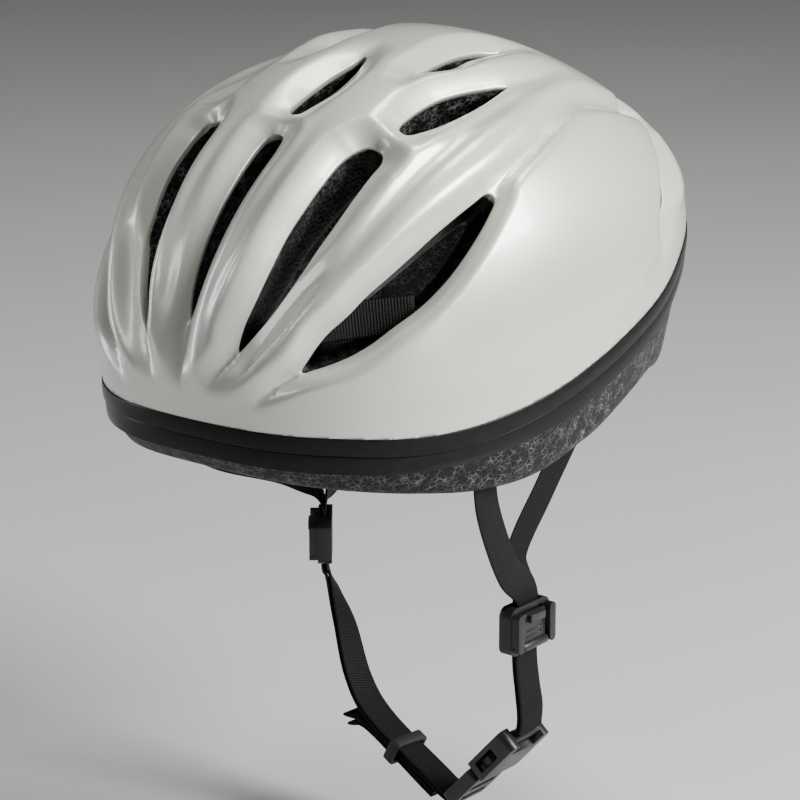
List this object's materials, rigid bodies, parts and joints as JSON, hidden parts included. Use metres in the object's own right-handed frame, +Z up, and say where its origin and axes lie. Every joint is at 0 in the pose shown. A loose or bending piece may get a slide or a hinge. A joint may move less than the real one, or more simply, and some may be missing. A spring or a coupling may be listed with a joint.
{
  "type": "cycling helmet",
  "caption": "Vented foam-lined cycling helmet with a thin moulded shell, stepped rim tape, webbing chin straps, cam dividers, side-release buckle and rear fit dial.",
  "frame": {"origin": "centre of the head opening, level with the front edge of the foam, where the wearer's head enters", "axes": "+Z up through the crown, front (brow) faces -Y, +X is the wearer's left"},
  "size_m": [0.213, 0.2783, 0.3326],
  "materials": {
    "shell_white": "gloss pearl",
    "foam_black": "moulded bead foam",
    "rim_tape": "satin",
    "pad_fabric": "brushed",
    "hook_tape": "hook tape",
    "webbing": "ribbed weave",
    "black_plastic": "fine texture",
    "lever_plastic": "satin",
    "keeper_rubber": "matte",
    "dial_rubber": "matte grip"
  },
  "bodies": {
    "helmet": {"outer_shell": "shell_white", "foam_liner": "foam_black", "rim_tape_upper": "rim_tape", "rim_tape_lower": "rim_tape", "brow_pad": "pad_fabric", "crown_pad_left": "pad_fabric", "crown_pad_right": "pad_fabric", "side_pad_left": "pad_fabric", "side_pad_right": "pad_fabric", "rear_pad_left": "pad_fabric", "rear_pad_right": "pad_fabric", "hook_dots": "hook_tape", "strap_anchors": "black_plastic", "vent_webbing_left": "webbing", "vent_webbing_right": "webbing", "left_front_strap": "webbing", "left_rear_strap": "webbing", "right_front_strap": "webbing", "right_rear_strap": "webbing", "left_divider": "black_plastic", "right_divider": "black_plastic", "buckle_female": "black_plastic", "fit_yoke": "black_plastic", "fit_cradle": "black_plastic", "fit_cradle_pad": "pad_fabric", "strap_tail_outer": "webbing", "strap_tail_inner": "webbing"},
    "left_lever": {"left_divider_lever": "lever_plastic"},
    "right_lever": {"right_divider_lever": "lever_plastic"},
    "keeper": {"strap_keeper": "keeper_rubber"},
    "buckle_half": {"buckle_male": "black_plastic"},
    "prong_front": {"buckle_prong_front": "lever_plastic"},
    "prong_rear": {"buckle_prong_rear": "lever_plastic"},
    "dial": {"fit_pinion": "lever_plastic", "fit_dial": "dial_rubber"},
    "band_left": {"fit_band_left": "black_plastic"},
    "band_right": {"fit_band_right": "black_plastic"}
  },
  "joints": [
    {"name": "left_lever_open", "type": "hinge", "parent": "helmet", "child": "left_lever", "pos_m": [0.0746, -0.004, -0.095], "axis": [0, 1, 0], "range_deg": [0, 75]},
    {"name": "right_lever_open", "type": "hinge", "parent": "helmet", "child": "right_lever", "pos_m": [-0.06562, 0.02317, -0.091], "axis": [0.6157, -0.788, 0], "range_deg": [0, 75]},
    {"name": "buckle_release", "type": "slide", "parent": "helmet", "child": "buckle_half", "axis": [-0.6691, 0, -0.7431], "range_m": [0, 0.026], "deforming": ["right_front_strap", "right_rear_strap", "strap_tail_outer", "strap_tail_inner"]},
    {"name": "prong_front_squeeze", "type": "hinge", "parent": "buckle_half", "child": "prong_front", "pos_m": [0.04665, -0.0042, -0.16072], "axis": [-0.7431, 0, 0.6691], "range_deg": [0, 8]},
    {"name": "prong_rear_squeeze", "type": "hinge", "parent": "buckle_half", "child": "prong_rear", "pos_m": [0.04665, 0.0082, -0.16072], "axis": [0.7431, 0, -0.6691], "range_deg": [0, 8]},
    {"name": "keeper_slide", "type": "slide", "parent": "buckle_half", "child": "keeper", "axis": [0.8801, -0.0825, -0.4676], "range_m": [-0.008, 0.008]},
    {"name": "dial_turn", "type": "hinge", "parent": "helmet", "child": "dial", "pos_m": [0, 0.112, -0.022], "axis": [0, -1, 0], "range_deg": [0, 114]},
    {"name": "band_left_slide", "type": "slide", "parent": "helmet", "child": "band_left", "axis": [-1, 0, 0], "range_m": [0, 0.008]},
    {"name": "band_right_slide", "type": "slide", "parent": "helmet", "child": "band_right", "axis": [1, 0, 0], "range_m": [0, 0.008]}
  ],
  "couplings": [
    {"joint": "prong_front_squeeze", "follows": "buckle_release", "rad_per_m": 5.2},
    {"joint": "prong_rear_squeeze", "follows": "buckle_release", "rad_per_m": 5.2},
    {"joint": "band_left_slide", "follows": "dial_turn", "m_per_rad": 0.004},
    {"joint": "band_right_slide", "follows": "dial_turn", "m_per_rad": 0.004}
  ]
}
